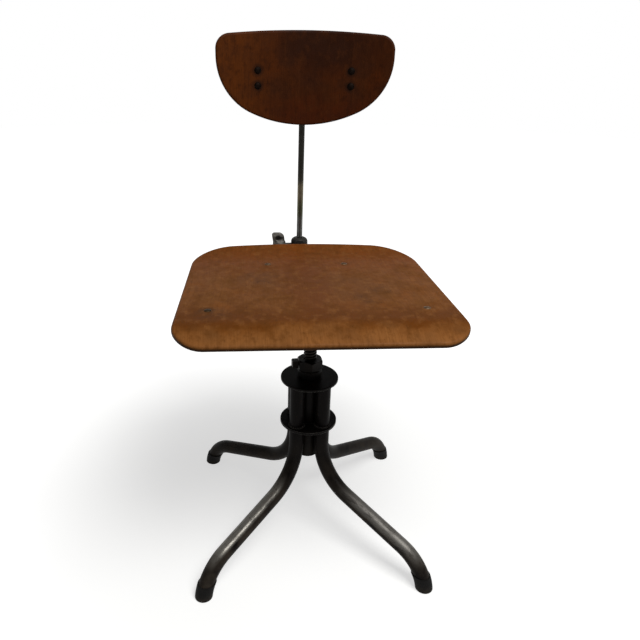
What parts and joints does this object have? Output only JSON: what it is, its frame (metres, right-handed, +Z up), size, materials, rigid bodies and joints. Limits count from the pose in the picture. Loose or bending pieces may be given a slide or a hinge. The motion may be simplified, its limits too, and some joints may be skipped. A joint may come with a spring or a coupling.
{
  "type": "swivel chair",
  "caption": "Workshop swivel chair: bent tube legs round a column, a screw spindle, a moulded plywood seat and a small plywood backrest that tilts on a clamped rod.",
  "frame": {"origin": "on the floor under the column axis", "axes": "+Z up along the column, +Y from the column to the backrest, so the sitter faces -Y; +X to the sitter's left"},
  "size_m": [0.4118, 0.4595, 0.825],
  "materials": {
    "leg_paint": "worn black paint",
    "frame_paint": "worn black paint",
    "foot_rubber": "matte",
    "bush_steel": "dark oiled",
    "spindle_steel": "oiled",
    "bearing_brass": "dull",
    "seat_wood": "worn varnish",
    "backrest_wood": "worn varnish",
    "bolt_steel": "worn",
    "back_bolt_steel": "blackened",
    "rod_steel": "dark, a little rust",
    "wing_iron": "worn"
  },
  "bodies": {
    "base": {"leg_front_left": "leg_paint", "leg_front_right": "leg_paint", "leg_rear_left": "leg_paint", "leg_rear_right": "leg_paint", "foot_cap_front_left": "foot_rubber", "foot_cap_front_right": "foot_rubber", "foot_cap_rear_left": "foot_rubber", "foot_cap_rear_right": "foot_rubber", "column_tube": "leg_paint", "lower_plate": "leg_paint", "upper_plate": "leg_paint", "column_bush": "bush_steel", "spindle_key": "bush_steel", "nut_washer": "bush_steel"},
    "height_nut": {"height_nut": "bush_steel", "lock_screw": "bush_steel"},
    "spindle": {"spindle": "spindle_steel", "stop_washer": "spindle_steel", "stop_screw": "spindle_steel", "thrust_washer": "bearing_brass", "retaining_washer": "spindle_steel", "retaining_nut": "spindle_steel"},
    "seat": {"seat_panel": "seat_wood", "seat_bolts": "bolt_steel", "seat_washers": "bolt_steel", "seat_nuts": "bolt_steel", "seat_spider": "frame_paint", "seat_hub": "frame_paint", "back_arm": "frame_paint", "arm_screws": "bolt_steel", "arm_nuts": "bolt_steel", "rod_boss": "frame_paint", "clamp_pad": "bearing_brass"},
    "wing_screw": {"wing_screw": "wing_iron"},
    "back_post": {"back_rod": "rod_steel", "rod_eye": "rod_steel"},
    "backrest": {"backrest_panel": "backrest_wood", "back_strap": "rod_steel", "hinge_lugs": "rod_steel", "back_bolts": "back_bolt_steel", "back_nuts": "back_bolt_steel", "hinge_bolt": "back_bolt_steel", "hinge_nut": "back_bolt_steel"}
  },
  "joints": [
    {"name": "seat_height", "type": "slide", "parent": "base", "child": "spindle", "axis": [0, 0, 1], "range_m": [-0.055, 0.09]},
    {"name": "nut_turn", "type": "hinge", "parent": "base", "child": "height_nut", "pos_m": [0, 0, 0.3225], "axis": [0, 0, 1], "range_deg": [-6490, 3970]},
    {"name": "seat_swivel", "type": "hinge", "parent": "spindle", "child": "seat", "pos_m": [0, 0, 0.42], "axis": [0, 0, 1], "continuous": true},
    {"name": "wing_screw_turn", "type": "hinge", "parent": "seat", "child": "wing_screw", "pos_m": [-0.03, 0.2521, 0.446], "axis": [-1, 0, 0], "range_deg": [0, 360]},
    {"name": "back_height", "type": "slide", "parent": "seat", "child": "back_post", "axis": [0, 0, 1], "range_m": [-0.08, 0.05]},
    {"name": "backrest_tilt", "type": "hinge", "parent": "back_post", "child": "backrest", "pos_m": [0, 0.2521, 0.75], "axis": [-1, 0, 0], "range_deg": [-5, 18]}
  ],
  "couplings": [
    {"joint": "nut_turn", "follows": "seat_height", "rad_per_m": -1256.6}
  ]
}
